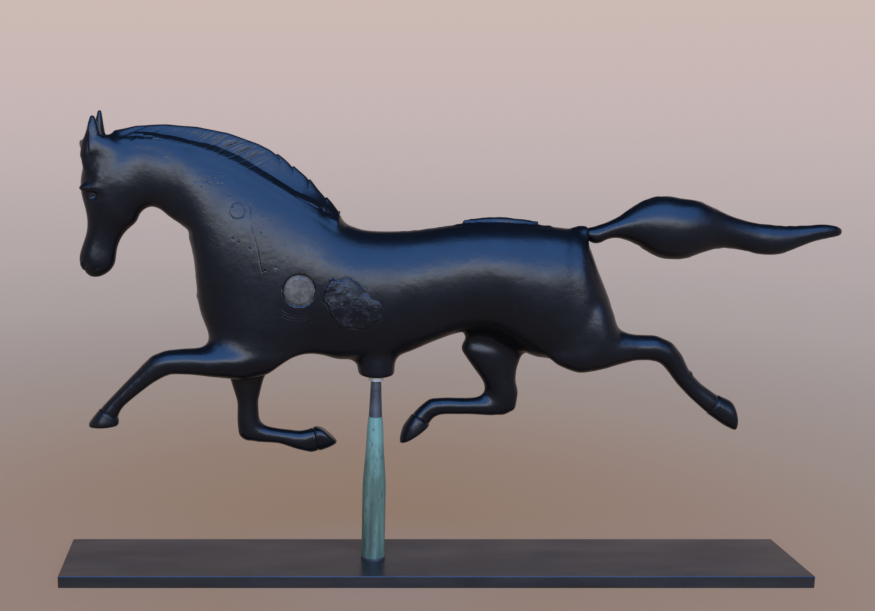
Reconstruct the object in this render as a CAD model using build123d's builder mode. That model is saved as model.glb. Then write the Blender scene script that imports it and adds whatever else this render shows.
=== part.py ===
from build123d import *
import os

# Trotting-horse weather vane on a flat bar stand. Millimetres, +Z up.
# The origin is on the spindle axis at the underside of the base. +X runs towards the tail,
# so the horse faces -X and its left side looks towards -Y.

os.makedirs("parts", exist_ok=True)

# ---------------------------------------------------------------- stand
BASE_LENGTH = 762.0  # 30 inches of 4 x 1/2 inch flat bar
BASE_WIDTH = 101.6
BASE_THICK = 12.7
BASE_FRONT = -322.0
BASE_EDGE = 0.8

SPINDLE_R = 6.0  # rod inside the sleeve and its threaded foot
FOOT_Z = 3.2
SLEEVE_TOP_Z = 165.0
CONE_BASE_R = 6.8
CONE_TIP_R = 5.3
SHOULDER_Z = 203.0
JOURNAL_R = 5.0
TIP_Z = 318.0

COLLAR_R = 12.6
COLLAR_TOP_Z = 15.0
WASHER_R = 7.5
WASHER_TOP_Z = 208.0

# ---------------------------------------------------------------- pivot inside the horse
BALL_R = 4.0
BALL_Z = 320.0
BALL_PLAY = 0.05
RUNNING_PLAY = 0.05

BOSS_R = 18.5
BOSS_BOTTOM_Z = 208.3
BOSS_TOP_Z = 242.0
BOSS_LIP_Z = 212.0
BOSS_LIP_R = 6.5
TUBE_R = 11.0
TUBE_BORE_R = 8.0
TUBE_TOP_Z = 328.0
BUSH_TOP_Z = 236.0
CAP_BOTTOM_Z = 322.0
CAP_TOP_Z = 332.0
BRIDGE_Z = 296.0
BRIDGE_THICK = 6.0
BRIDGE_LENGTH = 44.0

# ---------------------------------------------------------------- horse
WALL = 3.0
HEAD_WALL = 4.0
PATCH_THICK = 0.8
LEG_Y = 20.0  # distance of each leg's centre from the mid-plane
EAR_Y = 11.0
CREST_HALF = 1.6  # half the thickness of the mane at its crest
MANE_KEEL = 10.0  # depth of the mane's root below its lower edge
STUD_Y = 16.0
STUD_R = 5.0
NUT_R = 8.0
NUT_LENGTH = 8.0
STUD_TAIL = 2.0  # thread showing past the nut

SOCKET_R = 8.0
SOCKET_FRONT = 188.0
SOCKET_REAR = 209.0
TENON_R = 5.0
TAIL_ROOT_Z = 353.0
PIN_R = 1.5
PIN_X = 198.0
PIN_HALF = 7.0

CORE_PLUG_R = 14.75
CORE_PLUG_AT = (-80.5, 301.5)
TIE_HEAD_R = 7.5
TIE_SHANK_R = 4.0
TIE_AT = (-140.5, 378.5)
BODY_REACH = 60.0  # beyond the widest half of the body

# Each form below is a run of elliptical sections. A section is given by two points of its
# outline on the mid-plane (x, z), and its half-width across the body.
TORSO = [
    ((210, 336), (226, 290), 6),
    ((207, 346), (228, 274), 18),
    ((199, 355), (222, 256), 28),
    ((183, 361), (203, 237), 35),
    ((155, 363.5), (163, 228), 38),
    ((115, 366), (117, 253), 38),
    ((70, 363), (70, 247), 36),
    ((30, 358), (30, 232), 37),
    ((0, 357.5), (0, 227), 39),
    ((-25, 361), (-35, 225), 40),
    ((-55, 384), (-90, 225), 40),
    ((-95, 406), (-145, 230), 37),
    ((-130, 424), (-172, 255), 33),
    ((-158, 437), (-182, 290), 28),
    ((-185, 447), (-186, 335), 23),
    ((-212, 453), (-200, 360), 20),
    ((-250, 452), (-222, 380), 18),
]
HEAD = [
    ((-290, 446), (-262, 452), 9),
    ((-294, 433), (-240, 436), 18),
    ((-294.5, 415), (-230, 416), 21),
    ((-296, 396), (-228, 388), 21),
    ((-292, 378), (-236, 369), 17),
    ((-291, 358), (-253, 354), 12.5),
    ((-296, 342), (-261, 338), 11.5),
    ((-299.5, 328), (-263, 325), 12),
    ((-296, 317), (-268, 316), 9.5),
    ((-290, 309.5), (-279, 309.5), 4),
]
LEFT_EAR = [
    ((-294.5, 430), (-271, 437), 6.5),
    ((-290.5, 446), (-273, 450), 5.5),
    ((-287, 459), (-276, 461), 4),
    ((-284, 470), (-279, 470), 2),
]
RIGHT_EAR = [
    ((-291, 437), (-270, 441), 6.5),
    ((-286, 454), (-272.5, 457), 5.5),
    ((-281.5, 466), (-274, 467), 4),
    ((-279.5, 475), (-275, 475), 2),
]
TAIL = [
    ((209, 360), (209, 346), 7),
    ((223, 363), (225, 346), 8),
    ((240, 371), (243, 348), 10),
    ((254, 381), (263, 339), 15),
    ((270, 388.5), (274, 332), 18.5),
    ((290, 390), (293, 327.5), 20),
    ((312, 387), (315, 331), 18.5),
    ((340, 375.5), (338, 338), 13.5),
    ((368, 366), (362, 336.5), 10.5),
    ((400, 361.5), (394, 331.5), 10),
    ((430, 362), (424, 341), 8),
    ((452, 362), (449, 348), 6),
    ((462, 358), (462, 352), 3),
]
LEFT_FORELEG = [
    ((-96, 292), (-80, 248), 8),
    ((-112, 277), (-94, 228), 14),
    ((-145, 248), (-135, 209), 16),
    ((-172, 242), (-166, 211), 15),
    ((-194, 240.5), (-190, 213.5), 13),
    ((-213, 238.5), (-207, 214), 12),
    ((-227, 233), (-215, 211), 11),
    ((-240, 220), (-226, 204.5), 9.5),
    ((-254, 205.5), (-242, 192), 8.5),
    ((-268, 191), (-256, 180), 8),
    ((-279, 179), (-262, 170), 8.5),
    ((-290, 165), (-260.5, 163.5), 10.5),
    ((-294, 159), (-259, 161), 11.5),
]
RIGHT_FOREARM = [
    ((-150, 255), (-95, 262), 17),
    ((-155, 225), (-100, 228), 15),
    ((-149, 198), (-113, 202), 13),
    ((-142, 175), (-120, 176), 11),
    ((-142.5, 154), (-119, 157), 10.5),
    ((-141, 139), (-116, 151), 10.5),
    ((-133, 132.5), (-109, 148), 9.5),
]
RIGHT_FORE_CANNON = [
    ((-124, 132), (-117, 150), 8.8),
    ((-98, 130.3), (-94, 146), 7.8),
    ((-80, 124), (-76, 144.5), 8.5),
    ((-64, 120), (-69, 147), 8.5),
    ((-47, 125.5), (-63, 151), 10.5),
    ((-35, 131.5), (-62, 153), 11),
]
LEFT_HINDLEG = [
    ((192, 322), (154, 244), 11),
    ((212, 300), (179, 225), 16.5),
    ((226, 277), (201, 218), 17),
    ((235, 259), (228, 221), 15.5),
    ((255, 254.5), (254, 228), 12.5),
    ((276, 254), (270, 228.5), 12),
    ((292, 247), (281, 226), 11.5),
    ((302, 235), (289, 217.5), 10.5),
    ((311, 217.5), (299, 204.5), 9),
    ((323, 205), (312, 191), 8.5),
    ((340, 193), (330, 175), 9),
    ((354, 187), (347, 163), 10.5),
    ((357, 184), (363.5, 153), 11),
]
RIGHT_THIGH = [
    ((84, 285), (158, 278), 15),
    ((80, 262), (165, 245), 16),
    ((84, 238), (152, 226), 15),
    ((97, 219), (147.5, 211), 14),
    ((111, 200), (146.5, 199), 12.5),
    ((118, 187), (150, 186), 11.5),
    ((116.5, 180), (148, 167), 10.5),
    ((109, 179), (135, 160), 9.5),
]
RIGHT_HIND_CANNON = [
    ((118, 181), (126, 160), 9.5),
    ((95, 179.5), (100, 161.5), 8.4),
    ((75, 180), (75, 161.5), 8),
    ((59, 179), (62, 161), 8.2),
]
RIGHT_HIND_PASTERN = [
    ((57, 178), (67, 160), 8.4),
    ((48, 170.5), (60, 158.5), 8.2),
    ((40, 162), (59, 157), 8.8),
    ((31, 149), (59, 152), 10.4),
    ((26, 127), (58, 149), 11.5),
]
SEAM_BEAD = [
    ((75, 365), (75, 356), 3),
    ((100, 369), (100, 358), 5),
    ((131, 369), (131, 358), 5),
    ((150, 366.5), (150, 356), 5),
    ((172, 364), (172, 355), 4),
]
# The mane lies over the neck like a roof: crest, lower edge, and half-width at that edge
MANE = [
    ((-38, 376), (-42, 366), 17),
    ((-55, 393), (-64, 381), 17.5),
    ((-70, 409), (-84, 391), 17.5),
    ((-85, 420.5), (-101, 401), 16),
    ((-100, 432), (-118, 411), 14.5),
    ((-120, 442), (-136, 421.5), 12.5),
    ((-150, 452.5), (-160, 433), 11.5),
    ((-180, 458.5), (-186, 442), 11.5),
    ((-210, 461), (-213, 446.5), 11.5),
    ((-240, 459.5), (-239, 448), 10),
    ((-262, 455), (-259, 446), 8),
]
PATCH_OUTLINE = [(-57, 292), (-50, 310), (-34, 314), (-18, 303), (0, 289), (0, 273), (-18, 262), (-42, 266)]

# Leg studs: a point inside the leg and the end inside the hollow body (x, z)
LEFT_FORE_STUD = ((-150, 226), (-104, 259))
RIGHT_FORE_STUD = ((-128, 212), (-122, 264))
LEFT_HIND_STUD = ((224, 241), (182, 274))
RIGHT_HIND_STUD = ((122, 232), (128, 290))

BOTTOM_UP = (Align.CENTER, Align.CENTER, Align.MIN)


def sections_through(stations, y=0.0, inset=0.0):
    """Elliptical faces, one per station, each on its own plane square to the mid-plane."""
    faces = []
    for upper, lower, half_width in stations:
        span = Vector(upper[0] - lower[0], 0, upper[1] - lower[1])
        middle = ((upper[0] + lower[0]) / 2, y, (upper[1] + lower[1]) / 2)
        across = Plane(middle, x_dir=span, z_dir=span.cross(Vector(0, 1, 0)))
        with BuildSketch(across) as section:
            Ellipse(span.length / 2 - inset, half_width - inset)
        faces.append(section.sketch)
    return faces


def roof_sections(stations):
    """Kite-shaped faces: a narrow crest, two sides down to the lower edge, a keel inside the neck."""
    faces = []
    for crest, edge, half_width in stations:
        span = Vector(crest[0] - edge[0], 0, crest[1] - edge[1])
        across = Plane((edge[0], 0, edge[1]), x_dir=span, z_dir=span.cross(Vector(0, 1, 0)))
        top = span.length
        with BuildSketch(across) as section:
            Polygon(
                (top, CREST_HALF),
                (0, half_width),
                (-MANE_KEEL, 0),
                (0, -half_width),
                (top, -CREST_HALF),
                align=None,
            )
        faces.append(section.sketch)
    return faces


def rod_between(start, end, radius, y):
    """Round rod between two points (x, z) of the plane at the given Y."""
    run = Vector(end[0] - start[0], 0, end[1] - start[1])
    with BuildPart(Plane((start[0], y, start[1]), z_dir=run)) as rod:
        Cylinder(radius, run.length, align=BOTTOM_UP)
    return rod.part


def nut_on(start, end, y):
    """Round nut on a stud, a little short of the stud's inner end."""
    run = Vector(end[0] - start[0], 0, end[1] - start[1])
    seat = Vector(start[0], y, start[1]) + run.normalized() * (run.length - STUD_TAIL - NUT_LENGTH)
    with BuildPart(Plane(seat, z_dir=run)) as nut:
        Cylinder(NUT_R, NUT_LENGTH, align=BOTTOM_UP)
        Hole(STUD_R)
    return nut.part


def crosswise(at, radius, from_y, to_y):
    """Round bar across the body, centred on the point (x, z)."""
    with BuildPart(Plane((at[0], from_y, at[1]), z_dir=(0, 1, 0))) as bar:
        Cylinder(radius, to_y - from_y, align=BOTTOM_UP)
    return bar.part


# ================================================================ stand
with BuildPart() as base_plate:
    with Locations((BASE_FRONT + BASE_LENGTH / 2, 0, 0)):
        Box(BASE_LENGTH, BASE_WIDTH, BASE_THICK, align=BOTTOM_UP)
    chamfer(base_plate.edges(), BASE_EDGE)
    with Locations((0, 0, BASE_THICK)):
        Hole(SPINDLE_R, BASE_THICK - FOOT_Z)

# Steel rod: threaded foot, core of the sleeve, cone, shoulder, journal and cupped tip
with BuildPart() as spindle:
    with BuildSketch(Plane.XZ):
        with BuildLine():
            Polyline(
                (0, FOOT_Z),
                (SPINDLE_R, FOOT_Z),
                (SPINDLE_R, SLEEVE_TOP_Z),
                (CONE_BASE_R, SLEEVE_TOP_Z),
                (CONE_TIP_R, SHOULDER_Z),
                (JOURNAL_R, SHOULDER_Z),
                (JOURNAL_R, TIP_Z),
                (0, TIP_Z),
                close=True,
            )
        make_face()
    revolve(axis=Axis.Z)
    with Locations((0, 0, BALL_Z)):
        Sphere(BALL_R + BALL_PLAY, mode=Mode.SUBTRACT)

with BuildPart() as copper_sleeve:
    with BuildSketch(Plane.XZ):
        with BuildLine():
            Line((SPINDLE_R, SLEEVE_TOP_Z), (SPINDLE_R, COLLAR_TOP_Z))
            Line((SPINDLE_R, COLLAR_TOP_Z), (12, COLLAR_TOP_Z))
            Line((12, COLLAR_TOP_Z), (12, 85))
            Spline((12, 85), (11.5, 100), (9, 135), (7, SLEEVE_TOP_Z), tangents=[(0, 1), (-0.15, 1)])
            Line((7, SLEEVE_TOP_Z), (SPINDLE_R, SLEEVE_TOP_Z))
        make_face()
    revolve(axis=Axis.Z)

with BuildPart(Plane.XY.offset(BASE_THICK)) as foot_collar:
    Cylinder(COLLAR_R, COLLAR_TOP_Z - BASE_THICK, align=BOTTOM_UP)
    Hole(SPINDLE_R)

with BuildPart(Plane.XY.offset(SHOULDER_Z)) as wear_washer:
    Cylinder(WASHER_R, WASHER_TOP_Z - SHOULDER_Z, align=BOTTOM_UP)
    Hole(JOURNAL_R)

# ================================================================ thrust ball
with BuildPart(Plane.XY.offset(BALL_Z)) as thrust_ball:
    Sphere(BALL_R)

# ================================================================ pivot inside the horse
with BuildPart(Plane.XY.offset(BOSS_BOTTOM_Z)) as spindle_boss:
    Cylinder(BOSS_R, BOSS_TOP_Z - BOSS_BOTTOM_Z, align=BOTTOM_UP)
    with BuildSketch(Plane.XY.offset(BOSS_LIP_Z)):
        Circle(TUBE_R)
    extrude(amount=BOSS_TOP_Z - BOSS_LIP_Z, mode=Mode.SUBTRACT)
    Hole(BOSS_LIP_R)

with BuildPart(Plane.XY.offset(BOSS_LIP_Z)) as pivot_tube:
    Cylinder(TUBE_R, TUBE_TOP_Z - BOSS_LIP_Z, align=BOTTOM_UP)
    Hole(TUBE_BORE_R)

with BuildPart(Plane.XY.offset(BOSS_LIP_Z)) as guide_bush:
    Cylinder(TUBE_BORE_R, BUSH_TOP_Z - BOSS_LIP_Z, align=BOTTOM_UP)
    Hole(JOURNAL_R + RUNNING_PLAY)

with BuildPart(Plane.XY.offset(CAP_BOTTOM_Z)) as thrust_cap:
    Cylinder(TUBE_BORE_R, CAP_TOP_Z - CAP_BOTTOM_Z, align=BOTTOM_UP)
    with BuildSketch(Plane.XY.offset(TUBE_TOP_Z)):
        Circle(TUBE_R)
    extrude(amount=CAP_TOP_Z - TUBE_TOP_Z)
    with Locations((0, 0, BALL_Z - CAP_BOTTOM_Z)):
        Sphere(BALL_R + BALL_PLAY, mode=Mode.SUBTRACT)

# ================================================================ body of the horse
# Undivided outer form of body, neck and head, and the hollow inside it
with BuildPart() as body_form:
    loft(sections=sections_through(TORSO))
    loft(sections=sections_through(HEAD))

with BuildPart() as body_hollow:
    loft(sections=sections_through(TORSO[2:-1], inset=WALL))
    loft(sections=sections_through(HEAD[1:6], inset=HEAD_WALL))

boss_space = rod_between((0, BOSS_BOTTOM_Z), (0, BOSS_TOP_Z), BOSS_R, 0)
socket_space = rod_between((SOCKET_FRONT, TAIL_ROOT_Z), (SOCKET_REAR + SOCKET_R, TAIL_ROOT_Z), SOCKET_R, 0)
with BuildPart() as body_wall:
    add(body_form.part)
    add(body_hollow.part, mode=Mode.SUBTRACT)
    add(boss_space, mode=Mode.SUBTRACT)
    add(socket_space, mode=Mode.SUBTRACT)

left_studs = [rod_between(*stud, STUD_R, -STUD_Y) for stud in (LEFT_FORE_STUD, LEFT_HIND_STUD)]
right_studs = [rod_between(*stud, STUD_R, STUD_Y) for stud in (RIGHT_FORE_STUD, RIGHT_HIND_STUD)]
tie_heads = crosswise(TIE_AT, TIE_HEAD_R, -BODY_REACH, BODY_REACH)
tie_shank = crosswise(TIE_AT, TIE_SHANK_R, -BODY_REACH, BODY_REACH)
plug_space = crosswise(CORE_PLUG_AT, CORE_PLUG_R, -BODY_REACH, 0)

with BuildPart() as left_shell:
    add(body_wall.part)
    split(bisect_by=Plane.XZ, keep=Keep.TOP)
    add(tie_heads, mode=Mode.SUBTRACT)
    add(plug_space, mode=Mode.SUBTRACT)
    add(left_studs, mode=Mode.SUBTRACT)

with BuildPart() as right_shell:
    add(body_wall.part)
    split(bisect_by=Plane.XZ, keep=Keep.BOTTOM)
    add(tie_heads, mode=Mode.SUBTRACT)
    add(right_studs, mode=Mode.SUBTRACT)

with BuildPart() as core_plug:
    add(body_wall.part)
    add(plug_space, mode=Mode.INTERSECT)

# Flush tie through the neck: a head in each wall and a thinner shank between them
with BuildPart() as neck_tie:
    add(body_wall.part)
    add(tie_heads, mode=Mode.INTERSECT)
    add(tie_shank)
    add(body_form.part, mode=Mode.INTERSECT)

with BuildPart() as flank_patch:
    loft(sections=sections_through(TORSO[2:-1], inset=-PATCH_THICK))
    with BuildSketch(Plane.XZ):
        Polygon(*PATCH_OUTLINE, align=None)
    extrude(amount=BODY_REACH, mode=Mode.INTERSECT)
    add(body_form.part, mode=Mode.SUBTRACT)

with BuildPart() as seam_bead:
    loft(sections=sections_through(SEAM_BEAD))
    add(body_form.part, mode=Mode.SUBTRACT)

with BuildPart() as mane_crest:
    loft(sections=roof_sections(MANE), ruled=True)
    add(body_form.part, mode=Mode.SUBTRACT)

with BuildPart() as left_ear:
    loft(sections=sections_through(LEFT_EAR, -EAR_Y))
    add(body_form.part, mode=Mode.SUBTRACT)

with BuildPart() as right_ear:
    loft(sections=sections_through(RIGHT_EAR, EAR_Y))
    add(body_form.part, mode=Mode.SUBTRACT)

# Plate across the hollow that keeps the pivot tube upright
with BuildPart() as pivot_bridge:
    with Locations((0, 0, BRIDGE_Z)):
        Box(BRIDGE_LENGTH, 2 * BODY_REACH, BRIDGE_THICK, align=BOTTOM_UP)
    add(body_hollow.part, mode=Mode.INTERSECT)
    with Locations((0, 0, BRIDGE_Z + BRIDGE_THICK)):
        Hole(TUBE_R, BRIDGE_THICK)

# ================================================================ legs
with BuildPart() as left_foreleg:
    loft(sections=sections_through(LEFT_FORELEG, -LEG_Y), ruled=True)
    add(body_form.part, mode=Mode.SUBTRACT)
    add(left_studs[0])

with BuildPart() as right_foreleg:
    loft(sections=sections_through(RIGHT_FOREARM, LEG_Y), ruled=True)
    loft(sections=sections_through(RIGHT_FORE_CANNON, LEG_Y), ruled=True)
    add(body_form.part, mode=Mode.SUBTRACT)
    add(right_studs[0])

with BuildPart() as left_hindleg:
    loft(sections=sections_through(LEFT_HINDLEG, -LEG_Y), ruled=True)
    add(body_form.part, mode=Mode.SUBTRACT)
    add(left_studs[1])

with BuildPart() as right_hindleg:
    loft(sections=sections_through(RIGHT_THIGH, LEG_Y), ruled=True)
    loft(sections=sections_through(RIGHT_HIND_CANNON, LEG_Y), ruled=True)
    loft(sections=sections_through(RIGHT_HIND_PASTERN, LEG_Y), ruled=True)
    add(body_form.part, mode=Mode.SUBTRACT)
    add(right_studs[1])

with BuildPart() as leg_nuts:
    add(nut_on(*LEFT_FORE_STUD, -STUD_Y))
    add(nut_on(*RIGHT_FORE_STUD, STUD_Y))
    add(nut_on(*LEFT_HIND_STUD, -STUD_Y))
    add(nut_on(*RIGHT_HIND_STUD, STUD_Y))

# ================================================================ tail
tail_pin_bar = crosswise((PIN_X, TAIL_ROOT_Z), PIN_R, -PIN_HALF, PIN_HALF)
tenon = rod_between((SOCKET_FRONT, TAIL_ROOT_Z), (SOCKET_REAR, TAIL_ROOT_Z), TENON_R, 0)

with BuildPart() as tail:
    loft(sections=sections_through(TAIL))
    add(tenon)
    add(tail_pin_bar, mode=Mode.SUBTRACT)

with BuildPart() as tail_socket:
    add(rod_between((SOCKET_FRONT, TAIL_ROOT_Z), (SOCKET_REAR, TAIL_ROOT_Z), SOCKET_R, 0))
    add(tenon, mode=Mode.SUBTRACT)
    add(tail_pin_bar, mode=Mode.SUBTRACT)

with BuildPart() as tail_pin:
    add(tail_pin_bar)

# ================================================================ one file for each piece
PIECES = {
    "base_plate": base_plate,
    "spindle": spindle,
    "copper_sleeve": copper_sleeve,
    "foot_collar": foot_collar,
    "wear_washer": wear_washer,
    "thrust_ball": thrust_ball,
    "spindle_boss": spindle_boss,
    "pivot_tube": pivot_tube,
    "guide_bush": guide_bush,
    "thrust_cap": thrust_cap,
    "pivot_bridge": pivot_bridge,
    "left_shell": left_shell,
    "right_shell": right_shell,
    "core_plug": core_plug,
    "neck_tie": neck_tie,
    "flank_patch": flank_patch,
    "seam_bead": seam_bead,
    "mane_crest": mane_crest,
    "left_ear": left_ear,
    "right_ear": right_ear,
    "left_foreleg": left_foreleg,
    "right_foreleg": right_foreleg,
    "left_hindleg": left_hindleg,
    "right_hindleg": right_hindleg,
    "leg_nuts": leg_nuts,
    "tail": tail,
    "tail_socket": tail_socket,
    "tail_pin": tail_pin,
}
for name, piece in PIECES.items():
    piece.part.label = name
    export_step(piece.part, f"parts/{name}.step")
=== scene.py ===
import math

import bmesh
import bpy
import numpy as np
import openvdb
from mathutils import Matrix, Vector


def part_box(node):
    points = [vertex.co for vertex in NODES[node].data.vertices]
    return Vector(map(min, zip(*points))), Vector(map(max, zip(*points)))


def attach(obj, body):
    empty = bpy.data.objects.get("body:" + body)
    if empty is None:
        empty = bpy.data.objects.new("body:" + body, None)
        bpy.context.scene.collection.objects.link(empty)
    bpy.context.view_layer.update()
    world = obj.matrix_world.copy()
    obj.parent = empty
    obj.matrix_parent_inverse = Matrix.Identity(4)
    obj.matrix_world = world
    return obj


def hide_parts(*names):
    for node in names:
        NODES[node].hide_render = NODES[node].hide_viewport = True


# Looks of the trotting-horse weather vane. The castings are rebuilt as distance fields made
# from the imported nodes, so that legs, ears and mane flow into the body as they do in a casting.
# The form is then cut back into its pieces along the edges of the nodes, and the marks of the
# old surface are worked into the meshes as relief.

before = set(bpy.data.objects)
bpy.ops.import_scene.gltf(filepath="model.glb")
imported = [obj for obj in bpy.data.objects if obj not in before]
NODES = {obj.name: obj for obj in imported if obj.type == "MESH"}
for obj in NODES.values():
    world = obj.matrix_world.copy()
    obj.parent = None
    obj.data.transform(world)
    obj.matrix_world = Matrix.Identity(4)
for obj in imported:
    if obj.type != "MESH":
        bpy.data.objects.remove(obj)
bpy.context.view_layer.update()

MM = 0.001
VOXEL = 1.5 * MM
BAND = 12  # voxels on each side of a surface in which distances are kept
FAR = BAND * VOXEL
ON_FORM = 0.6 * VOXEL  # a vertex this near to the form's surface belongs to it
WALL = 3.0 * MM  # thickness of the cast shells
MARGIN = 14 * MM  # room around the horse in the grid
LAP = 3 * MM  # how far a cast piece reaches under the edge of the shell around it
SUNK = 0.05 * MM  # how much lower it lies there
ROOT_REACH = 9 * MM  # how far from its node a cast piece may reach
SEALING = 0.6 * MM  # gaps between touching nodes that are closed before the hollows are dropped
HOLLOW_R = 10 * MM  # radius to which every hollow edge of the body is rounded
BODY_PASSES = 3  # smoothing passes over the whole body
TRUNK_PASSES = 50  # and over the trunk and the cheeks
MANE_FILLET = 6 * MM
TRIM_FILLET = 2.5 * MM  # around ears and seam bead
CREASE_DEPTH = 3.2 * MM  # of the crease between mane and neck
SLOPE_STEP = 0.25 * MM  # step in which the relief's slope is measured

SHELLS = ["left_shell", "right_shell"]
LEGS = ["left_foreleg", "right_foreleg", "left_hindleg", "right_hindleg"]
EARS = ["left_ear", "right_ear"]
XFORM = openvdb.createLinearTransform(voxelSize=VOXEL)


# ---------------------------------------------------------------- places on the horse
def joined_box(names):
    """Lowest and highest corner of several nodes."""
    boxes = [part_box(name) for name in names]
    low = np.min([list(b[0]) for b in boxes], axis=0)
    high = np.max([list(b[1]) for b in boxes], axis=0)
    return low, high


def middle(name):
    """Centre of a node's box."""
    low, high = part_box(name)
    return (low + high) / 2


def half_length(name):
    """Half the length of a node's box along the horse."""
    low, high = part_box(name)
    return (high.x - low.x) / 2


def path_from(place, *offsets):
    """Points (x, z) given in millimetres from a place on the horse."""
    return [(place.x + dx * MM, place.z + dz * MM) for dx, dz in offsets]


def from_plug(*offsets):
    """Points (x, z) given in millimetres from the centre of the shoulder's round plug."""
    return path_from(PLUG, *offsets)


def beside(name, from_x, from_z, dx, dz):
    """Point (x, z) given from the low (0) or high (1) end of a node's box, in millimetres."""
    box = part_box(name)
    return box[from_x].x + dx * MM, box[from_z].z + dz * MM


# The plug in the shoulder is the landmark of the left side, the eye that of the head
PLUG = middle("core_plug")
PLUG_R = half_length("core_plug")
TIE = middle("neck_tie")
TIE_R = half_length("neck_tie")
TIE_SHANK_R = 4 * MM
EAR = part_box("left_ear")[0]
EYE = Vector((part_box("left_shell")[0].x + 15 * MM, 0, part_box("left_ear")[0].z - 37 * MM))
NOSTRIL = EYE + Vector((-9.5 * MM, 0, -71 * MM))
# Marks on the left side, and the lines that shape the form
CRACK = from_plug((-43, 94), (-47, 82), (-47, 64), (-44, 53), (-40, 38), (-38, 26), (-36, 18))
SCRATCH_R = PLUG_R + 10 * MM
PIT_CLUSTER = from_plug((-76, 108))[0]
BURR = beside("left_hindleg", 1, 0, -50.5, 63)  # small lump on the outer hind leg's front edge
CHEST_BUMP = from_plug((-100, -11))[0]  # small lump on the front edge of the chest
ELBOW = from_plug((11, -111))[0]  # centre of the arch between the folded foreleg and the belly
ELBOW_R = 42 * MM
HAUNCH = beside("left_hindleg", 1, 1, -160.5, -30)  # centre of the muscle over the outer hind leg's root
MANE_FOOT = from_plug((-181, 148), (-160, 150), (-120, 149), (-82, 141),
                      (-57, 130), (-32, 115), (-7, 100), (36, 70))  # where the mane meets the neck
THROAT = from_plug((-145, 81.5), (-110, 55.5))  # the throat's underside from jaw to neck

# Where each hoof begins: a point (x, z) and the direction (x, z) towards the hoof
HOOFS = {
    "left_foreleg": (beside("left_foreleg", 0, 0, 23, 16), (-0.47, -0.88)),
    "right_foreleg": (beside("right_foreleg", 1, 0, -26, 19), (0.97, 0.25)),
    "left_hindleg": (beside("left_hindleg", 1, 0, -27, 31), (0.86, -0.5)),
    "right_hindleg": (beside("right_hindleg", 0, 0, 22, 31), (-0.5, -0.86)),
}

HORSE_LOW, HORSE_HIGH = joined_box(SHELLS + LEGS + EARS + ["mane_crest", "tail"])
ORIGIN = np.floor((HORSE_LOW - MARGIN) / VOXEL).astype(int)
SHAPE = tuple(np.ceil((HORSE_HIGH + MARGIN) / VOXEL).astype(int) - ORIGIN + 1)


# ---------------------------------------------------------------- distance fields
def axis_values(axis):
    """Coordinates of the grid's planes along one axis, shaped to spread over the grid."""
    values = ((np.arange(SHAPE[axis]) + ORIGIN[axis]) * VOXEL).astype(np.float32)
    return values.reshape([-1 if i == axis else 1 for i in range(3)])


X, Y, Z = (axis_values(axis) for axis in range(3))


def vertices_of(mesh):
    """Positions of all vertices, one row each."""
    points = np.empty(len(mesh.vertices) * 3, np.float32)
    mesh.vertices.foreach_get("co", points)
    return points.reshape(-1, 3)


def triangles_of(obj):
    """Vertices of an object and the corners of its triangles."""
    mesh = obj.data
    mesh.calc_loop_triangles()
    corners = np.empty(len(mesh.loop_triangles) * 3, np.int32)
    mesh.loop_triangles.foreach_get("vertices", corners)
    return vertices_of(mesh), corners.reshape(-1, 3)


def field_from(points, triangles=None, quads=None):
    """Signed distance on the grid, negative inside the closed mesh."""
    shapes = {}
    if triangles is not None:
        shapes["triangles"] = triangles
    if quads is not None:
        shapes["quads"] = quads
    grid = openvdb.FloatGrid.createLevelSetFromPolygons(points, transform=XFORM, halfWidth=BAND, **shapes)
    field = np.full(SHAPE, FAR, np.float32)
    grid.copyToArray(field, ijk=tuple(int(i) for i in ORIGIN))
    return field


def node_field(name):
    """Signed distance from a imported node."""
    return field_from(*triangles_of(NODES[name]))


def surface_of(field, level=0.0):
    """Points and quads of the surface where the field has this level."""
    grid = openvdb.FloatGrid(FAR)
    grid.copyFromArray(field, ijk=tuple(int(i) for i in ORIGIN))
    grid.transform = XFORM
    grid.gridClass = openvdb.GridClass.LEVEL_SET
    points, quads = grid.convertToQuads(isovalue=level)
    return points, quads


def outermost(points, quads):
    """Keeps the one connected surface with the largest extent, which drops inner hollows."""
    label = np.arange(len(points))
    while True:
        lowest = label[quads].min(axis=1)
        new = label.copy()
        for corner in range(4):
            np.minimum.at(new, quads[:, corner], lowest)
        new = new[new]
        if np.array_equal(new, label):
            break
        label = new
    best = max(np.unique(label), key=lambda k: float(np.ptp(points[label == k], axis=0).sum()))
    kept = label == best
    renumber = np.cumsum(kept) - 1
    return points[kept], renumber[quads[kept[quads[:, 0]]]].astype(np.uint32)


def offset_and_back(field, reach, drop_hollows=False):
    """Grows the form and shrinks it again, which rounds every hollow edge to that radius."""
    points, quads = surface_of(field, reach)
    if drop_hollows:
        points, quads = outermost(points, quads)
    return field_from(points, quads=quads) + np.float32(reach)


def smoothed(field, times):
    """Repeated 1-2-1 averaging along each axis."""
    for _ in range(times):
        for axis in range(3):
            before = np.roll(field, 1, axis)
            after = np.roll(field, -1, axis)
            field = 0.5 * field + 0.25 * (before + after)
    return field


def smooth_union(a, b, reach):
    """Union of two fields with a fillet about as wide as reach."""
    h = np.clip(0.5 + 0.5 * (b - a) / reach, 0, 1)
    return b * (1 - h) + a * h - reach * h * (1 - h)


def smooth_cut(a, b, reach):
    """The first field without the second, with a softened rim."""
    return -smooth_union(-a, b, reach)


def step(value, start, end):
    """Smooth rise from 0 at start to 1 at end."""
    t = np.clip((value - start) / (end - start), 0, 1)
    return t * t * (3 - 2 * t)


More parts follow.
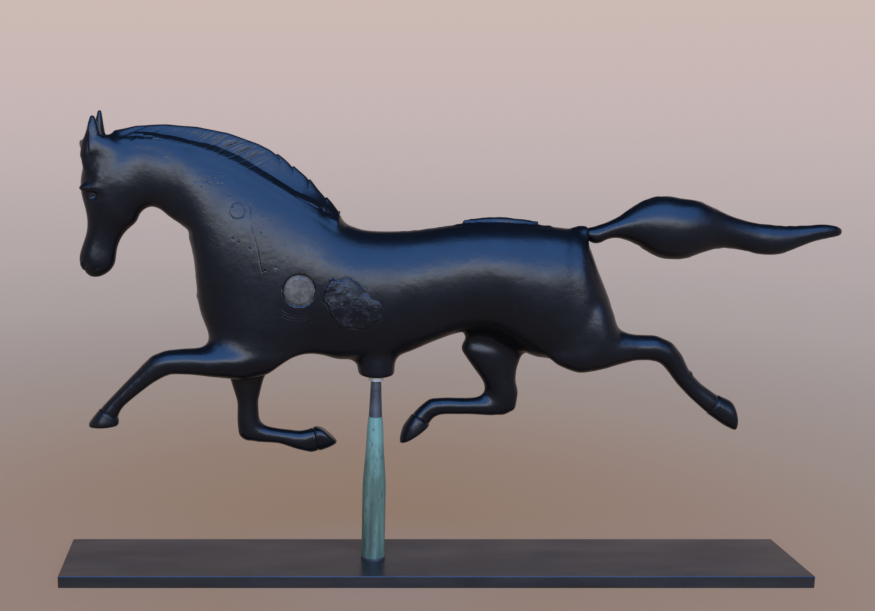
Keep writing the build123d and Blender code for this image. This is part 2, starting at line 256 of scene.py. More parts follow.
def egg(centre, radii):
    """Rough distance from a pair of ellipsoids, one on each side of the horse."""
    cx, cy, cz = centre
    rx, ry, rz = radii
    spread = np.sqrt(((X - cx) / rx) ** 2 + ((np.abs(Y) - cy) / ry) ** 2 + ((Z - cz) / rz) ** 2)
    return (spread - 1) * min(radii)


def cell_mix(grid, cell, part):
    """Values of a grid between its eight surrounding points, repeating past its ends."""
    total = np.zeros(len(cell))
    for i in (0, 1):
        for j in (0, 1):
            for k in (0, 1):
                share = np.ones(len(cell))
                for axis, side in enumerate((i, j, k)):
                    share *= part[:, axis] if side else 1 - part[:, axis]
                at = (cell + (i, j, k)) % grid.shape
                total += share * grid[at[:, 0], at[:, 1], at[:, 2]]
    return total


def sampled(field, points):
    """Field values at any points, linear between grid planes."""
    at = points / VOXEL - ORIGIN
    cell = np.clip(np.floor(at).astype(int), 0, np.array(SHAPE) - 2)
    return cell_mix(field, cell, at - cell)


def normals_of(field, points):
    """Outward directions of the field at the points."""
    gradient = np.zeros((len(points), 3))
    for axis in range(3):
        shift = np.zeros(3)
        shift[axis] = VOXEL
        gradient[:, axis] = sampled(field, points + shift) - sampled(field, points - shift)
    return gradient / np.maximum(np.linalg.norm(gradient, axis=1, keepdims=True), 1e-9)


# ---------------------------------------------------------------- relief of the old surface
LATTICES = [np.random.default_rng(seed).uniform(-1, 1, (32, 32, 32)) for seed in range(8)]


def noise(points, size, seed):
    """Smooth random values from -1 to 1 that vary over about this size."""
    at = points / size
    cell = np.floor(at).astype(int)
    part = at - cell
    return cell_mix(LATTICES[seed], cell, part * part * (3 - 2 * part))


def dip(distance, half_width):
    """1 at distance 0, falling to nothing at about twice the half-width."""
    return np.exp(-((distance / half_width) ** 2))


def path_distance(x, z, path):
    """Distance from a polyline drawn on the horse's side."""
    best = np.full(len(x), FAR)
    for (x0, z0), (x1, z1) in zip(path, path[1:]):
        dx, dz = x1 - x0, z1 - z0
        t = np.clip(((x - x0) * dx + (z - z0) * dz) / (dx * dx + dz * dz), 0, 1)
        best = np.minimum(best, np.hypot(x - x0 - t * dx, z - z0 - t * dz))
    return best


class Outline:
    """Side view of a node, as the farthest reach of its points in many directions."""

    def __init__(self, name, directions=48):
        turns = np.linspace(0, 2 * math.pi, directions, endpoint=False)
        self.ways = list(zip(np.cos(turns), np.sin(turns)))
        points = vertices_of(NODES[name].data)
        self.reach = [float((points[:, 0] * c + points[:, 2] * s).max()) for c, s in self.ways]

    def gap(self, x, z):
        """Distance outside the outline, negative inside it."""
        return np.maximum.reduce([x * c + z * s - r for (c, s), r in zip(self.ways, self.reach)])


PATCH = Outline("flank_patch")


def arc_distance(x, z):
    """Distance from the scratched arcs under the plug."""
    radius = np.hypot(x - PLUG.x, z - PLUG.z)
    turn = np.degrees(np.arctan2(z - PLUG.z, x - PLUG.x))
    low_side = step(turn, -145, -130) * step(-turn, 35, 50)
    rings = [np.abs(radius - SCRATCH_R - k * 2.4 * MM + 0.02 * k * (x - PLUG.x)) for k in range(3)]
    return np.minimum.reduce(rings) + (1 - low_side) * 5 * MM


def pit_places():
    """Seeded places (x, z, radius) of the small pits on the neck."""
    rng = np.random.default_rng(7)
    cluster = [(rng.normal(PIT_CLUSTER[0], 10 * MM), rng.normal(PIT_CLUSTER[1], 6 * MM)) for _ in range(22)]
    loose = [from_plug((rng.uniform(-75, -5), rng.uniform(15, 95)))[0] for _ in range(12)]
    return [(x, z, rng.uniform(0.5, 0.9) * MM) for x, z in cluster + loose]


PITS = pit_places()


def side_marks(x, z, points):
    """Marks on the horse's left side only."""
    plug_gap = np.hypot(x - PLUG.x, z - PLUG.z) - PLUG_R
    height = -1.4 * MM * dip(plug_gap, 1.1 * MM)
    height += 0.12 * MM * step(-plug_gap, 0, 2 * MM) * noise(points, 1.6 * MM, 1)
    height -= 0.22 * MM * dip(np.hypot(x - TIE.x, z - TIE.z) - TIE_R, 0.5 * MM)
    height -= 0.38 * MM * dip(path_distance(x, z, CRACK), 0.6 * MM) * (0.7 + 0.6 * noise(points, 9 * MM, 2))
    height -= 0.12 * MM * dip(arc_distance(x, z), 0.5 * MM) * (1 + noise(points, 5 * MM, 7))
    for px, pz, radius in PITS:
        height -= 0.30 * MM * dip(np.hypot(x - px, z - pz), radius)

    rim = PATCH.gap(x, z) + 2.2 * MM * noise(points, 8 * MM, 3) + 0.8 * MM * noise(points, 3 * MM, 4)
    crags = 0.9 * noise(points, 15 * MM, 5) + 0.45 * noise(points, 6 * MM, 6)
    crags += 0.2 * np.abs(noise(points, 3 * MM, 7))
    inside = step(-rim, -0.6 * MM, 1.2 * MM)
    height += inside * (0.8 + 1.3 * crags) * MM - 0.15 * MM * dip(rim - 0.8 * MM, 0.9 * MM)
    height += 1.4 * MM * dip(np.hypot(x - BURR[0], z - BURR[1]), 2.2 * MM)
    return height


def mane_marks(x, y, z, points, on_mane):
    """Engraved strands, and the broken crest above the withers."""
    strand = 0.92 * z - 0.39 * x
    strand += 3.0 * MM * noise(points, 30 * MM, 1) + 0.8 * MM * noise(points, 8 * MM, 2)
    wave = np.sin(2 * math.pi * strand / (8.5 * MM))
    clear = 0.12 + 0.88 * step(PLUG.x - 22 * MM - x, 0, 30 * MM)
    depth = clear * (0.25 + 0.75 * step(noise(points, 26 * MM, 3), -0.4, 0.4))
    off_crest = 1 - dip(y, 2.5 * MM)
    height = -0.55 * MM * np.clip(wave - 0.35, 0, 1) * depth * off_crest
    fine = np.sin(2 * math.pi * strand / (2.9 * MM) + 2 * noise(points, 9 * MM, 4))
    height -= 0.07 * MM * (0.5 + 0.5 * fine) * off_crest * clear
    steps = np.mod(x / (17 * MM) + 0.35 * noise(points, 20 * MM, 5), 1)
    broken = step(x, PLUG.x - 32 * MM, PLUG.x - 18 * MM)
    height -= 1.7 * MM * dip(y, 4 * MM) * broken * steps ** 2
    return on_mane * height


def mane_crease(x, y, z):
    """Depth of the long crease in which the mane meets the neck, straight above and curved below."""
    gap = path_distance(x, z, MANE_FOOT)
    foot = np.interp(x, *zip(*MANE_FOOT))
    below = np.clip(1 - gap / FAR, 0, 1) ** 2
    above = np.clip(1 - gap / FAR, 0, 1) * (1 - dip(y, 4 * MM))
    span = step(-x, -PLUG.x - 44 * MM, -PLUG.x - 24 * MM) * step(x, EYE.x + 15 * MM, EYE.x + 50 * MM)
    return CREASE_DEPTH * span * np.where(z < foot, below, above)


def head_marks(x, z):
    """Eyelids, nostril ring, mouth and the fold of the ear, on both sides of the head."""
    lid = path_from(EYE, (-6.5, 1.5), (0, 3), (6, 0.2))
    lower = path_from(EYE, (-6, -0.5), (0, -2.6), (6, 0))
    ring = np.abs(np.hypot(x - NOSTRIL.x, (z - NOSTRIL.z) / 1.2) - 3.6 * MM)
    mouth = path_from(NOSTRIL, (-6, -6.5), (6, -5.5), (16, -1.5))
    fold = path_from(EAR, (12, 4), (10, 32))
    height = -0.6 * MM * dip(path_distance(x, z, lid), 0.8 * MM)
    height -= 0.25 * MM * dip(path_distance(x, z, lower), 0.8 * MM)
    height += 0.7 * MM * dip(path_distance(x, z, fold), 1.1 * MM)
    height += 0.45 * MM * dip(ring, 0.9 * MM)
    return height - 0.7 * MM * dip(path_distance(x, z, mouth), 0.8 * MM)


def hoof_marks(x, z):
    """Groove above each hoof, with the hoof standing a little proud below it."""
    height = np.zeros(len(x))
    for (hx, hz), (dx, dz) in HOOFS.values():
        along = (x - hx) * dx + (z - hz) * dz
        near = step(-np.hypot(x - hx, z - hz), -34 * MM, -26 * MM)
        height += near * (0.6 * MM * step(along, 0, 1.2 * MM) - 0.6 * MM * dip(along, 1.0 * MM))
    return height


def relief(points, mane):
    """How far the cast surface stands out of the smooth form at the points."""
    x, y, z = points.T
    height = 0.30 * MM * noise(points, 38 * MM, 1) + 0.14 * MM * noise(points, 13 * MM, 2)
    height += 0.05 * MM * noise(points, 4 * MM, 3) + 0.02 * MM * noise(points, 1.5 * MM, 4)
    off_mane = sampled(mane, points)
    on_mane = step(-off_mane, -2.5 * MM, -0.5 * MM)
    height += mane_marks(x, y, z, points, on_mane)
    height -= mane_crease(x, y, z)
    height += head_marks(x, z) + hoof_marks(x, z)
    height += np.where(y < 0, side_marks(x, z, points), 0)
    seam = dip(y, 1.3 * MM) * (1 - on_mane) * step(x, EYE.x + 30 * MM, EYE.x + 60 * MM)
    height += seam * (0.25 + 0.5 * noise(points, 5 * MM, 5)) * MM
    bump = np.sqrt((x - CHEST_BUMP[0]) ** 2 + y ** 2 + (z - CHEST_BUMP[1]) ** 2)
    return height + 1.3 * MM * dip(bump, 3 * MM)


def needs_detail(points, mane, finest):
    """Where the relief is finer than the grid. The finest level leaves out the mane."""
    x, y, z = points.T
    plug_gap = np.hypot(x - PLUG.x, z - PLUG.z) - PLUG_R
    tie_gap = np.hypot(x - TIE.x, z - TIE.z) - TIE_R
    eye_gap = np.hypot(x - EYE.x, z - EYE.z) - 10 * MM
    nostril_gap = np.hypot(x - NOSTRIL.x, z - NOSTRIL.z) - 8 * MM
    marked = (np.abs(plug_gap) < 3 * MM) | (np.abs(tie_gap) < 2 * MM) | (PATCH.gap(x, z) < 2.5 * MM)
    marked |= (path_distance(x, z, CRACK) < 2.5 * MM) | (arc_distance(x, z) < 2 * MM)
    found = (y < 0) & marked | (eye_gap < 0) | (nostril_gap < 0)
    for (hx, hz), (dx, dz) in HOOFS.values():
        along = (x - hx) * dx + (z - hz) * dz
        found |= (np.abs(along) < 2.5 * MM) & (np.hypot(x - hx, z - hz) < 26 * MM)
    if not finest:
        found |= sampled(mane, points) < 2.5 * MM
        found |= np.hypot(x - PIT_CLUSTER[0], z - PIT_CLUSTER[1]) < 24 * MM
    return found


# ---------------------------------------------------------------- meshes
def refine(mesh, form, mane):
    """Splits the faces on the form twice where the relief is fine."""
    for finest in (False, True):
        points = vertices_of(mesh)
        marked = needs_detail(points, mane, finest) & (np.abs(sampled(form, points)) < ON_FORM)
        bm = bmesh.new()
        bm.from_mesh(mesh)
        bm.verts.ensure_lookup_table()
        edges = [e for e in bm.edges if marked[e.verts[0].index] and marked[e.verts[1].index]]
        if edges:
            bmesh.ops.subdivide_edges(bm, edges=edges, cuts=1, use_grid_fill=True)
            bm.to_mesh(mesh)
        bm.free()


def piece_from(name, field, form, mane, nodes, material, sunk=SUNK):
    """Mesh of a field. Where it lies on the smooth form it takes the relief and its normals."""
    points, quads = surface_of(field)
    mesh = bpy.data.meshes.new(name)
    mesh.from_pydata(points.tolist(), [], quads[:, ::-1].tolist())
    mesh.update()
    refine(mesh, form, mane)
    mesh.shade_smooth()

    points = vertices_of(mesh).astype(float)
    gap = sampled(form, points)
    on_form = np.abs(gap) < ON_FORM
    outer = points[on_form]
    normals = normals_of(form, outer)
    outer = outer - normals * (gap[on_form] + sunk)[:, None]
    height = relief(outer, mane)
    slope = np.zeros_like(outer)
    for axis in range(3):
        shift = np.zeros(3)
        shift[axis] = SLOPE_STEP
        slope[:, axis] = (relief(outer + shift, mane) - height) / SLOPE_STEP
    slope -= normals * np.sum(slope * normals, axis=1, keepdims=True)
    points[on_form] = outer + normals * height[:, None]
    mesh.vertices.foreach_set("co", points.astype(np.float32).ravel())
    mesh.update()

    shading = np.empty(len(points) * 3, np.float32)
    mesh.vertex_normals.foreach_get("vector", shading)
    shading = shading.reshape(-1, 3)
    tilted = normals - slope
    shading[on_form] = tilted / np.linalg.norm(tilted, axis=1, keepdims=True)
    mesh.normals_split_custom_set_from_vertices(shading.tolist())

    obj = bpy.data.objects.new(name, mesh)
    bpy.context.scene.collection.objects.link(obj)
    mesh.materials.append(material)
    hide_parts(*nodes)
    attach(obj, "horse")


# ---------------------------------------------------------------- materials
class Nodes:
    """Short way to write a node material."""

    def __init__(self, name):
        self.material = bpy.data.materials.new(name)
        self.material.use_nodes = True
        self.tree = self.material.node_tree
        self.shader = self.tree.nodes["Principled BSDF"]
        self.place = self.add("ShaderNodeTexCoord").outputs["Object"]

    def add(self, kind, **settings):
        """New node with its settings."""
        node = self.tree.nodes.new(kind)
        for key, value in settings.items():
            setattr(node, key, value)
        return node

    def link(self, source, target):
        self.tree.links.new(source, target)

    def into(self, source, socket):
        """Links a value to the shader."""
        self.link(source, self.shader.inputs[socket])

    def fixed(self, **values):
        """Constants on the shader's own sockets, named with underscores for spaces."""
        for key, value in values.items():
            self.shader.inputs[key.replace("_", " ")].default_value = value

    def noise(self, scale, detail=4.0, roughness=0.55, stretch=(1, 1, 1)):
        """Noise in the object's own metres; a small stretch value draws it out along that axis."""
        mapping = self.add("ShaderNodeMapping")
        mapping.inputs["Scale"].default_value = stretch
        self.link(self.place, mapping.inputs["Vector"])
        noise = self.add("ShaderNodeTexNoise")
        noise.inputs["Scale"].default_value = scale
        noise.inputs["Detail"].default_value = detail
        noise.inputs["Roughness"].default_value = roughness
        self.link(mapping.outputs["Vector"], noise.inputs["Vector"])
        return noise.outputs["Fac"]

    def pits(self, scale):
        """Distance from scattered points, low in each pit."""
        cells = self.add("ShaderNodeTexVoronoi")
        cells.inputs["Scale"].default_value = scale
        self.link(self.place, cells.inputs["Vector"])
        return cells.outputs["Distance"]

    def coordinate(self, axis):
        parts = self.add("ShaderNodeSeparateXYZ")
        self.link(self.place, parts.inputs["Vector"])
        return parts.outputs[axis]

    def math(self, operation, *values):
        """Math node on sockets or numbers."""
        node = self.add("ShaderNodeMath", operation=operation)
        for socket, value in zip(node.inputs, values):
            if isinstance(value, bpy.types.NodeSocket):
                self.link(value, socket)
            else:
                socket.default_value = value
        return node.outputs["Value"]

    def ramp(self, value, *stops):
        """Colour ramp; each stop is (position, grey or (r, g, b))."""
        ramp = self.add("ShaderNodeValToRGB")
        elements = ramp.color_ramp.elements
        while len(elements) < len(stops):
            elements.new(0.5)
        for element, (position, colour) in zip(elements, stops):
            element.position = position
            rgb = colour if isinstance(colour, tuple) else (colour,) * 3
            element.color = (*rgb, 1)
        self.link(value, ramp.inputs["Fac"])
        return ramp.outputs["Color"]

    def mixed(self, factor, a, b, blend="MIX"):
        """Mix of two colours, given as sockets or as (r, g, b)."""
        mix = self.add("ShaderNodeMix", data_type="RGBA", blend_type=blend)
        sockets = [s for s in mix.inputs if s.enabled]
        for socket, value in zip(sockets, (factor, a, b)):
            if isinstance(value, bpy.types.NodeSocket):
                self.link(value, socket)
            elif isinstance(value, tuple):
                socket.default_value = (*value, 1)
            else:
                socket.default_value = value
        return next(s for s in mix.outputs if s.enabled)

    def bump(self, height, distance, strength=1.0, under=None):
        """Normal bent by a height, on top of another bump's normal where one is given."""
        bump = self.add("ShaderNodeBump")
        bump.inputs["Distance"].default_value = distance
        bump.inputs["Strength"].default_value = strength
        self.link(height, bump.inputs["Height"])
        if under is not None:
            self.link(under, bump.inputs["Normal"])
        return bump.outputs["Normal"]


# Colours of the castings: the dark pair below, and the rubbed places over it
DARK = ((0.0018, 0.0022, 0.0030), (0.0042, 0.0045, 0.0050))
PALE = (0.014, 0.0135, 0.013)
PLUG_GREYS = ((0.045, 0.034, 0.023), (0.090, 0.068, 0.043), (0.19, 0.138, 0.088))


def black_cast(name="black_cast_patina", dark=DARK, pale=PALE, pale_share=0.3,
               gloss=(0.27, 0.36), grit=0.35):
    """Old black paint and patina on cast metal: dark, satin, with rubbed and pitted places."""
    n = Nodes(name)
    base = n.ramp(n.noise(9, 5), (0.35, dark[0]), (0.68, dark[1]))
    rubbed = n.ramp(n.noise(120, 6, 0.65), (0.72 - 0.35 * pale_share, 0.0), (0.74, pale_share))
    n.into(n.mixed(rubbed, base, pale), "Base Color")
    n.into(n.ramp(n.noise(45, 6), (0.3, gloss[0]), (0.7, gloss[1])), "Roughness")
    n.fixed(IOR=1.35)
    soft = n.bump(n.noise(70, 4), 0.35 * MM, 0.35)
    pitted = n.bump(n.ramp(n.pits(330), (0.04, 0.0), (0.2, 1.0)), 0.10 * MM, grit, soft)
    n.into(n.bump(n.noise(1100, 3), 0.05 * MM, grit, pitted), "Normal")
    return n.material


def patinated_steel():
    """Brown-grey waxed steel of the bar, drawn along its length, with a painted highlight along its top
    edges.
    """
    n = Nodes("patinated_steel")
    drawn = n.noise(60, 5, 0.6, (0.06, 1, 1))
    base = n.ramp(drawn, (0.32, (0.012, 0.011, 0.010)), (0.68, (0.026, 0.022, 0.019)))
    blotches = n.ramp(n.noise(14, 6, 0.65), (0.48, 0.0), (0.66, 0.6))
    base = n.mixed(blotches, base, (0.010, 0.009, 0.009))
    # Painted highlight: a paler line of uneven width along the bar's two top long edges.
    _, half_width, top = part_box("base_plate")[1]
    edge = n.math("ABSOLUTE", n.coordinate("Y"))
    ridge = n.math("ADD", n.math("SUBTRACT", edge, half_width), n.math("SUBTRACT", n.coordinate("Z"), top))
    top_edge_highlight = n.math("GREATER_THAN", n.math("ADD", ridge, n.math("MULTIPLY", n.noise(300), 1.2 * MM)), 0.0)
    n.into(n.mixed(top_edge_highlight, base, (0.06, 0.058, 0.060)), "Base Color")
    n.into(n.ramp(n.noise(30, 6, 0.6, (0.3, 1, 1)), (0.3, 0.26), (0.7, 0.40)), "Roughness")
    n.fixed(Metallic=0.1, IOR=1.48)
    n.into(n.bump(n.noise(420, 4, 0.6, (0.08, 1, 1)), 0.06 * MM, 0.35), "Normal")
    return n.material


def dark_steel():
    """Greyer bare steel of the spindle's cone and the foot collar."""
    n = Nodes("dark_steel")
    base = n.ramp(n.noise(90, 6), (0.35, (0.045, 0.05, 0.055)), (0.7, (0.10, 0.10, 0.10)))
    rust = n.ramp(n.noise(260, 5, 0.7), (0.56, 0.0), (0.7, 0.7))
    n.into(n.mixed(rust, base, (0.075, 0.045, 0.028)), "Base Color")
    n.into(n.ramp(n.noise(200, 4), (0.3, 0.34), (0.7, 0.52)), "Roughness")
    n.fixed(Metallic=0.6)
    n.into(n.bump(n.noise(700, 4, 0.6, (1, 1, 0.2)), 0.08 * MM, 0.5), "Normal")
    return n.material


def verdigris():
    """Weathered copper: turquoise crust in vertical streaks, paler above, brown metal showing."""
    n = Nodes("verdigris_copper")
    streaks = n.noise(150, 6, 0.62, (1, 1, 0.07))
    crust = n.ramp(streaks, (0.34, (0.040, 0.058, 0.034)), (0.52, (0.075, 0.114, 0.063)),
                   (0.7, (0.14, 0.21, 0.125)))
    low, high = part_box("copper_sleeve")
    height = n.math("DIVIDE", n.math("SUBTRACT", n.coordinate("Z"), low.z), high.z - low.z)
    paler = n.ramp(n.math("ADD", height, n.math("MULTIPLY", n.noise(60), 0.3)), (0.72, 0.0), (1.0, 0.55))
    crust = n.mixed(paler, crust, (0.19, 0.33, 0.22))
    bare = n.ramp(n.noise(330, 7, 0.7, (1, 1, 0.35)), (0.55, 0.0), (0.66, 0.85))
    crust = n.mixed(bare, crust, (0.045, 0.040, 0.032))
    stain = n.ramp(n.noise(38, 4, 0.6, (1, 1, 0.3)), (0.5, 0.0), (0.72, 0.55))
    n.into(n.mixed(stain, crust, (0.055, 0.075, 0.062)), "Base Color")
    n.into(n.ramp(streaks, (0.3, 0.52), (0.7, 0.75)), "Roughness")
    rough = n.bump(n.noise(500, 6, 0.65, (1, 1, 0.4)), 0.18 * MM, 0.6)
    n.into(n.bump(streaks, 0.25 * MM, 0.5, rough), "Normal")
    return n.material


def plain_metal(name, dark, bright, rough, metallic=1.0):
    """Turned metal parts that only show in part."""
    n = Nodes(name)
    n.into(n.ramp(n.noise(180, 5), (0.35, dark), (0.7, bright)), "Base Color")
    n.into(n.ramp(n.noise(90, 4), (0.3, rough - 0.06), (0.7, rough + 0.08)), "Roughness")
    n.fixed(Metallic=metallic)
    n.into(n.bump(n.noise(900, 3, 0.5, (1, 1, 3)), 0.04 * MM, 0.4), "Normal")
    return n.material


def dress_nodes():
    """Materials of the CAD nodes that are shown as they are."""
    steel = dark_steel()
    looks = {
        "base_plate": patinated_steel(),
        "spindle": steel,
        "foot_collar": steel,
        "pivot_bridge": steel,
        "copper_sleeve": verdigris(),
        "wear_washer": plain_metal("pale_washer", (0.33, 0.33, 0.31), (0.52, 0.52, 0.50), 0.5, 0.2),
        "guide_bush": plain_metal("bronze", (0.36, 0.22, 0.10), (0.52, 0.34, 0.16), 0.34),
    }
    bright = plain_metal("bright_steel", (0.42, 0.42, 0.43), (0.6, 0.6, 0.6), 0.28)
    for name, node in NODES.items():
        if not node.hide_render:
            node.data.materials.clear()
            node.data.materials.append(looks.get(name, bright))


# ---------------------------------------------------------------- horse
def boss_plug():
    """Fills the shells' hole over the boss, from just inside the belly to the boss's top."""
    low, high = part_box("spindle_boss")
    pillar = np.sqrt(X * X + Y * Y) - ((high.x - low.x) / 2 - MM)
    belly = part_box("left_shell")[0].z + 5 * MM
    return np.maximum(np.maximum(pillar, belly - Z), Z - high.z)


def boss_bore():
    """Room for the spindle below and for the pivot tube above, kept open through the form."""
    radius = np.sqrt(X * X + Y * Y)
    low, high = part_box("pivot_tube")
    lip = half_length("guide_bush") - 1.5 * MM
    below = np.maximum(radius - lip, Z - low.z)
    within = np.maximum(radius - half_length("pivot_tube"), np.maximum(low.z - Z, Z - high.z))
    return np.minimum(below, within)


def socket_plug():
    """Fills the bore of the tail's collar."""
    low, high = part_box("tail_socket")
    bore = np.sqrt(Y * Y + (Z - (low.z + high.z) / 2) ** 2) - ((high.z - low.z) / 2 - MM)
    return np.maximum(bore, np.maximum(low.x - X, X - high.x))


def sunk_roots(field):
    """A leg's field with its root drawn in, so that it doesn't stand out of the trunk above the belly."""
    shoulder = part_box("left_foreleg")[1].x
    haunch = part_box("tail_socket")[0].x
    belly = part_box("left_shell")[0].z
    share = step(X, shoulder - 78 * MM, shoulder - 50 * MM) * step(-X, -haunch - 32 * MM, -haunch - 10 * MM)
    return field + 6 * MM * share * step(Z, belly + 4 * MM, belly + 26 * MM)


def calmed(form, mane):
    """The form with its trunk, shoulders and haunches smoothed much more than its thin parts."""
    soft = smoothed(form, TRUNK_PASSES)
    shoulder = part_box("left_foreleg")[1].x
    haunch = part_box("tail_socket")[0].x
    share = step(X, shoulder - 110 * MM, shoulder - 75 * MM) * step(-X, -haunch - 14 * MM, 2 * MM - haunch)
    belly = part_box("left_shell")[0].z
    share = share * step(Z, belly + 2 * MM, belly + 20 * MM)
    from_cheek = np.sqrt((X - EYE.x - 50 * MM) ** 2 + (Z - EYE.z - 14 * MM) ** 2)
    share = np.maximum(share, step(-from_cheek, -48 * MM, -30 * MM))
    return form + share * step(mane, 4 * MM, 12 * MM) * (soft - form)


def rounded_underside(body):
    """Fills shoulder and haunch, draws the throat up and opens the arch behind the foreleg."""
    (x0, z0), (x1, z1) = THROAT
    length = math.hypot(x1 - x0, z1 - z0)
    along = ((X - x0) * (x1 - x0) + (Z - z0) * (z1 - z0)) / length
    above = ((Z - z0) * (x1 - x0) - (X - x0) * (z1 - z0)) / length
    throat = np.maximum(above, -above - 14 * MM)
    throat = np.maximum(throat, np.abs(along - 0.5 * length) - 0.55 * length)
    arch = np.sqrt((X - ELBOW[0]) ** 2 + (Z - ELBOW[1]) ** 2) - ELBOW_R
    shoulder = egg((ELBOW[0] - 42 * MM, 17 * MM, ELBOW[1] + 64 * MM), (46 * MM, 17 * MM, 40 * MM))
    haunch = egg((HAUNCH[0], 15 * MM, HAUNCH[1]), (30 * MM, 19 * MM, 42 * MM))
    body = smooth_union(smooth_union(body, shoulder, 12 * MM), haunch, 12 * MM)
    return smooth_cut(smooth_cut(body, throat, 7 * MM), arch, 8 * MM)


def carve_head(form):
    """Brow, eye and nostril on both sides of the head."""
    brow = egg((EYE.x - 2 * MM, 12.5 * MM, EYE.z + 6.5 * MM), (10 * MM, 5.0 * MM, 3.4 * MM))
    form = smooth_union(form, brow, 5 * MM)
    form = smooth_cut(form, egg((EYE.x, 17.5 * MM, EYE.z - MM), (8.5 * MM, 6.0 * MM, 4.4 * MM)), 3 * MM)
    form = smooth_union(form, egg((EYE.x, 10.2 * MM, EYE.z - MM), (5.0 * MM, 3.4 * MM, 2.6 * MM)), 2 * MM)
    for name in EARS:
        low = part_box(name)[0]
        root = egg((low.x + 8 * MM, 10.5 * MM, low.z), (7 * MM, 6.5 * MM, 14 * MM))
        form = smooth_union(form, root, 5 * MM)
    hollow = egg((NOSTRIL.x + MM, 10.2 * MM, NOSTRIL.z), (3.4 * MM, 4.4 * MM, 4.2 * MM))
    return smooth_cut(form, hollow, 2 * MM)


def edge_between(fields, name):
    """Negative where the form belongs to this node: nearer to it than to the rest, and near at all."""
    other = np.minimum.reduce([fields[n] for n in fields if n != name])
    return np.maximum((fields[name] - other) / 2, fields[name] - ROOT_REACH)


def cast_horse():
    """The castings: one flowing form, cut back into its pieces along the edges of the nodes."""
    grown = LEGS + EARS + ["mane_crest", "tail_socket", "spindle_boss", "seam_bead"]
    fields = {name: node_field(name) for name in grown}
    closed = [node_field(name) for name in SHELLS + ["core_plug", "neck_tie"]]
    fields["shell"] = np.minimum.reduce(closed + [boss_plug()])
    mane = fields["mane_crest"]

    bulk = [fields[name] for name in ["shell", "tail_socket", "spindle_boss"]] + [socket_plug()]
    bulk += [sunk_roots(fields[name]) for name in LEGS]
    body = offset_and_back(np.minimum.reduce(bulk), SEALING, drop_hollows=True)
    body = rounded_underside(offset_and_back(body, HOLLOW_R))
    form = carve_head(calmed(smoothed(body, BODY_PASSES), mane))
    trim = np.minimum.reduce([fields[name] for name in EARS + ["seam_bead"]])
    form = smoothed(smooth_union(smooth_union(form, mane, MANE_FILLET), trim, TRIM_FILLET), 1)

    tie_radius = np.sqrt((X - TIE.x) ** 2 + (Z - TIE.z) ** 2)
    edges = {name: edge_between(fields, name) for name in grown}
    inlays = {
        "core_plug": np.maximum(np.sqrt((X - PLUG.x) ** 2 + (Z - PLUG.z) ** 2) - PLUG_R, Y),
        "neck_tie": tie_radius - TIE_R,
        "flank_patch": np.maximum(PATCH.gap(X, Z), Y),
    }
    bore = boss_bore()
    shells = np.maximum(np.maximum(form, -(form + WALL)), -bore)
    looks = {
        "core_plug": black_cast("plug_face", PLUG_GREYS[:2], PLUG_GREYS[2], 0.8, (0.40, 0.50), 0.9),
        "flank_patch": black_cast("rough_patch", DARK, (0.05, 0.047, 0.045), 0.6, (0.33, 0.5), 0.8),
        "neck_tie": black_cast("tie_head", DARK, (0.022, 0.022, 0.023), 0.5, (0.30, 0.40), 0.5),
    }
    cast = black_cast()
    for name, edge in {**edges, **inlays}.items():
        shells = np.maximum(shells, -edge)
        solid = np.maximum(np.maximum(form + SUNK, edge - LAP), -bore)
        if name in inlays:
            solid = np.maximum(solid, -(form + WALL))
        if name == "neck_tie":
            solid = np.minimum(solid, np.maximum(tie_radius - TIE_SHANK_R, form + WALL / 2))
        piece_from(name + "_cast", solid, form, mane, [name], looks.get(name, cast))
    piece_from("left_shell_cast", np.maximum(shells, Y), form, mane, ["left_shell"], cast, 0)
    piece_from("right_shell_cast", np.maximum(shells, -Y), form, mane, ["right_shell"], cast, 0)
    tail = smoothed(node_field("tail"), 4)
    piece_from("tail_cast", tail, tail, mane, ["tail"], cast, 0)


# ---------------------------------------------------------------- stage
def light(name, place, aim, size, power, colour):
    """Soft rectangular panel that faces a point."""
    data = bpy.data.lights.new(name, "AREA")
    data.shape = "RECTANGLE"
    data.size = size[0]
    data.size_y = size[1]
    data.energy = power
    data.color = colour
    obj = bpy.data.objects.new(name, data)
    obj.location = place
    obj.rotation_euler = (Vector(aim) - Vector(place)).to_track_quat("-Z", "Y").to_euler()
    bpy.context.scene.collection.objects.link(obj)


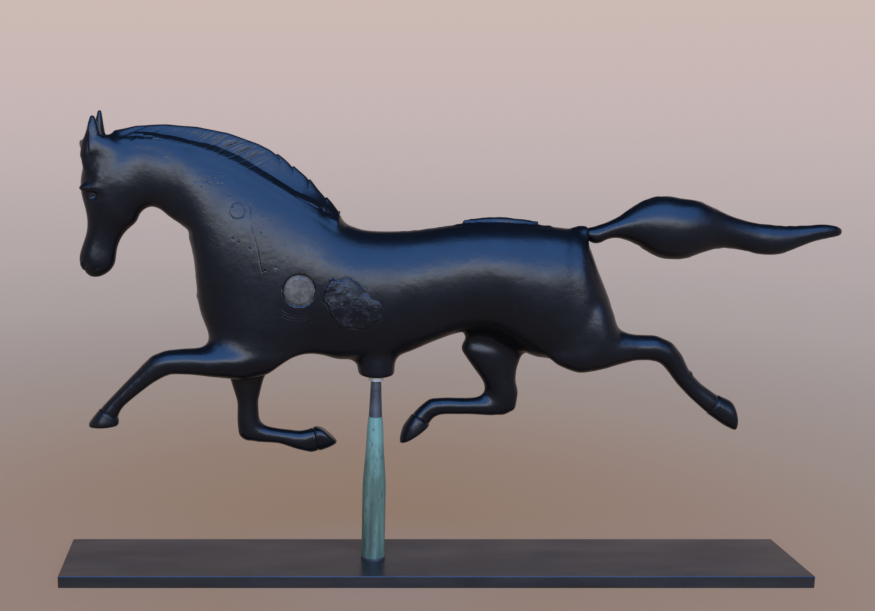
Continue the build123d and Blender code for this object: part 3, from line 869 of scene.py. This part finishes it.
def backdrop_material():
    """Warm pale paper, lit from within so that it stays even; the painted glow is darker near the object,
    brighter up the wall and dimmer over the front half.
    """
    n = Nodes("pale_backdrop")
    x, y, z = (n.coordinate(axis) for axis in "XYZ")
    away = n.math("SQRT", n.math("ADD", n.math("MULTIPLY", x, x), n.math("MULTIPLY", y, y)))
    reach = n.math("DIVIDE", n.math("ADD", away, n.math("MULTIPLY", z, 1.3)), 5.6)
    # Painted glow: darker on the floor around the object, growing brighter up the wall.
    painted_glow = n.ramp(reach, (0.0, (0.245, 0.18, 0.15)), (0.03, (0.25, 0.165, 0.11)),
                  (0.08, (0.265, 0.18, 0.13)), (0.13, (0.285, 0.22, 0.18)),
                  (0.20, (0.31, 0.26, 0.24)), (0.29, (0.36, 0.31, 0.30)),
                  (0.53, (0.43, 0.37, 0.37)), (0.72, (0.53, 0.44, 0.435)),
                  (0.92, (0.585, 0.47, 0.435)))
    # Painted dimming of the glow over the front half of the backdrop.
    front = n.ramp(n.math("ADD", n.math("MULTIPLY", y, 0.25), 0.5), (0.02, 0.42), (0.47, 1.0))
    n.into(n.mixed(1.0, painted_glow, front, "MULTIPLY"), "Emission Color")
    n.fixed(Emission_Strength=1.0, Roughness=0.9, Base_Color=(0.05, 0.03, 0.018, 1))
    return n.material


def studio():
    """Round floor that curves up into a wall all around, two soft panels and a dim world."""
    flat_radius = 2.6
    wall_depth = 1.8
    wall_height = 2.6
    turns = 96
    profile = [(flat_radius * t, 0.0) for t in (0.0, 0.5, 1.0)]
    for a in np.linspace(0.05, math.pi / 2, 24):
        profile.append((flat_radius + wall_depth * math.sin(a), wall_height * (1 - math.cos(a))))
    points = []
    for radius, height in profile:
        for t in range(turns):
            a = 2 * math.pi * t / turns
            points.append((radius * math.cos(a), radius * math.sin(a), height))
    faces = []
    for row in range(len(profile) - 1):
        for t in range(turns):
            a = row * turns + t
            b = row * turns + (t + 1) % turns
            faces.append((a, b, b + turns, a + turns))
    mesh = bpy.data.meshes.new("backdrop")
    mesh.from_pydata(points, [], faces)
    mesh.shade_smooth()
    mesh.materials.append(backdrop_material())
    floor = bpy.data.objects.new("backdrop", mesh)
    bpy.context.scene.collection.objects.link(floor)

    world = bpy.data.worlds.new("studio")
    bpy.context.scene.world = world
    world.use_nodes = True
    sky = world.node_tree.nodes["Background"]
    sky.inputs["Color"].default_value = (0.5, 0.6, 0.8, 1)
    sky.inputs["Strength"].default_value = 0.08
    light("sky_panel", (0.1, -1.9, 2.0), (0, 0, 0.3), (4.0, 2.5), 230, (0.13, 0.37, 1.0))
    light("front_band", (0.0, -2.5, 0.88), (0, 0, 0.3), (3.4, 0.5), 44, (0.98, 1.0, 0.96))
    bpy.context.scene.view_settings.view_transform = "Standard"


def camera():
    """Photographer's place: in front of the left side, a little above the horse."""
    data = bpy.data.cameras.new("camera")
    data.lens = 47.3
    data.sensor_width = 36
    data.shift_x = 0.206
    cam = bpy.data.objects.new("camera", data)
    cam.location = (-0.1212, -1.1418, 0.4804)
    cam.rotation_euler = (math.radians(90 - 9.94), 0, 0)
    bpy.context.scene.collection.objects.link(cam)
    bpy.context.scene.camera = cam


cast_horse()
dress_nodes()
studio()
camera()
